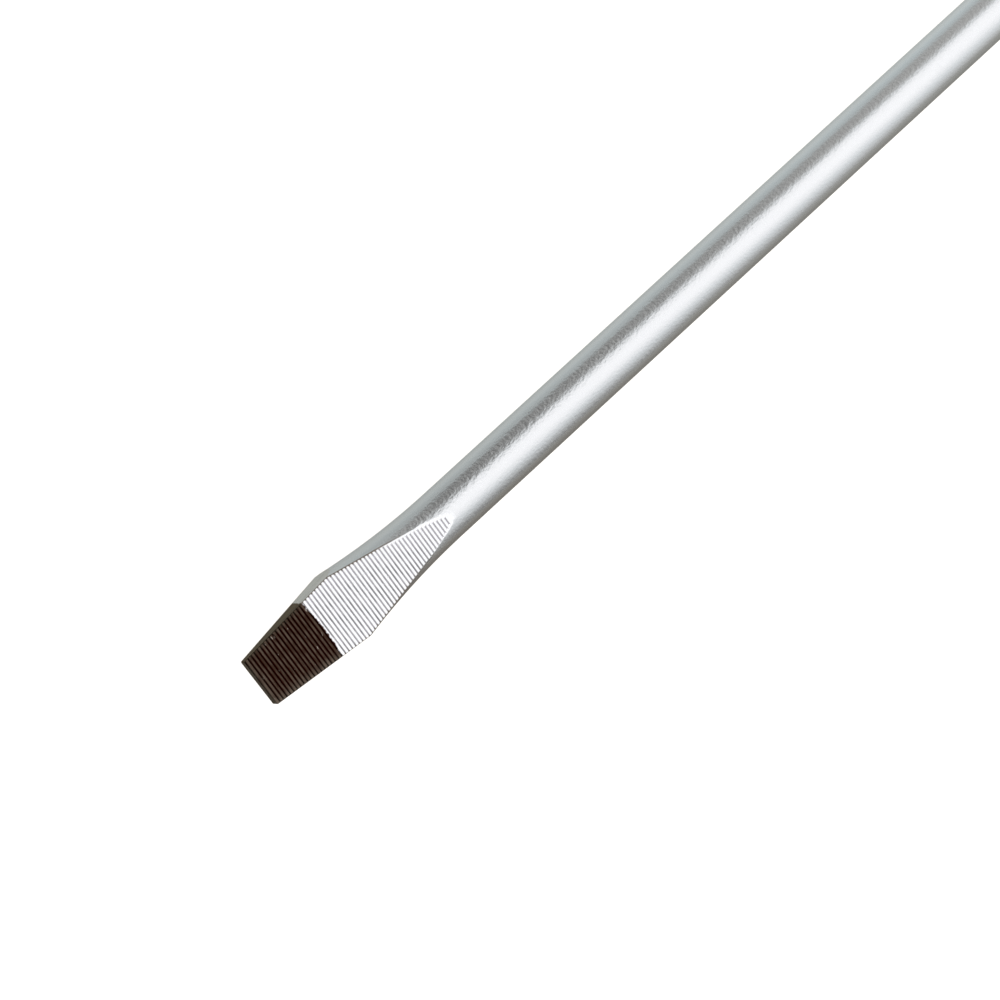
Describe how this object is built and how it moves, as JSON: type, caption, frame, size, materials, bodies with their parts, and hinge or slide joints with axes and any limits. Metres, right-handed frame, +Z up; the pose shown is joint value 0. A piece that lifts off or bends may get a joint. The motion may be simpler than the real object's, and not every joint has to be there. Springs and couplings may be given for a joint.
{
  "type": "watchmaker screwdriver",
  "caption": "Slotted precision screwdriver: flared, grooved, dark-tipped blade on a slim round shank, knurled handle with anti-roll hexagon and a free-turning finger cap.",
  "frame": {"origin": "centre of the tip's end edge, on the tool's axis", "axes": "+X along the axis from the tip to the cap, +Y across the blade's width, +Z up out of the blade's upper flat face; the tool lies level on its grip and its hexagonal ring"},
  "size_m": [0.1654, 0.0128, 0.011],
  "materials": {
    "blade_chrome": "satin chrome on tool steel, with the front 4.4 mm blackened",
    "handle_steel": "satin turned stainless steel",
    "blackened_steel": "black oxide",
    "bearing_steel": "ground and polished",
    "spacer_brass": "plain turned brass",
    "brown_anodised": "brown anodised, satin"
  },
  "bodies": {
    "handle": {"barrel": "handle_steel", "chuck_nose": "handle_steel", "set_screws": "blackened_steel", "grip_sleeve": "handle_steel", "anti_roll_ring": "brown_anodised", "spindle": "handle_steel", "spacer": "spacer_brass", "bearing_inner_race": "bearing_steel", "spindle_clip": "blackened_steel"},
    "blade": {"blade": "blade_chrome"},
    "cap": {"swivel_cap": "handle_steel", "cap_disc": "brown_anodised", "bearing_outer_race": "bearing_steel", "bearing_shield_front": "bearing_steel", "bearing_shield_rear": "bearing_steel", "cap_clip": "blackened_steel"},
    "ball_set": {"bearing_balls": "bearing_steel", "bearing_cage": "spacer_brass"}
  },
  "joints": [
    {"name": "cap_swivel", "type": "hinge", "parent": "handle", "child": "cap", "pos_m": [0.1581, 0, 0], "axis": [1, 0, 0], "continuous": true},
    {"name": "ball_roll", "type": "hinge", "parent": "handle", "child": "ball_set", "pos_m": [0.1581, 0, 0], "axis": [1, 0, 0], "continuous": true},
    {"name": "blade_change", "type": "slide", "parent": "handle", "child": "blade", "axis": [-1, 0, 0], "range_m": [0, 0.02]}
  ],
  "couplings": [
    {"joint": "ball_roll", "follows": "cap_swivel", "ratio": 0.636}
  ]
}
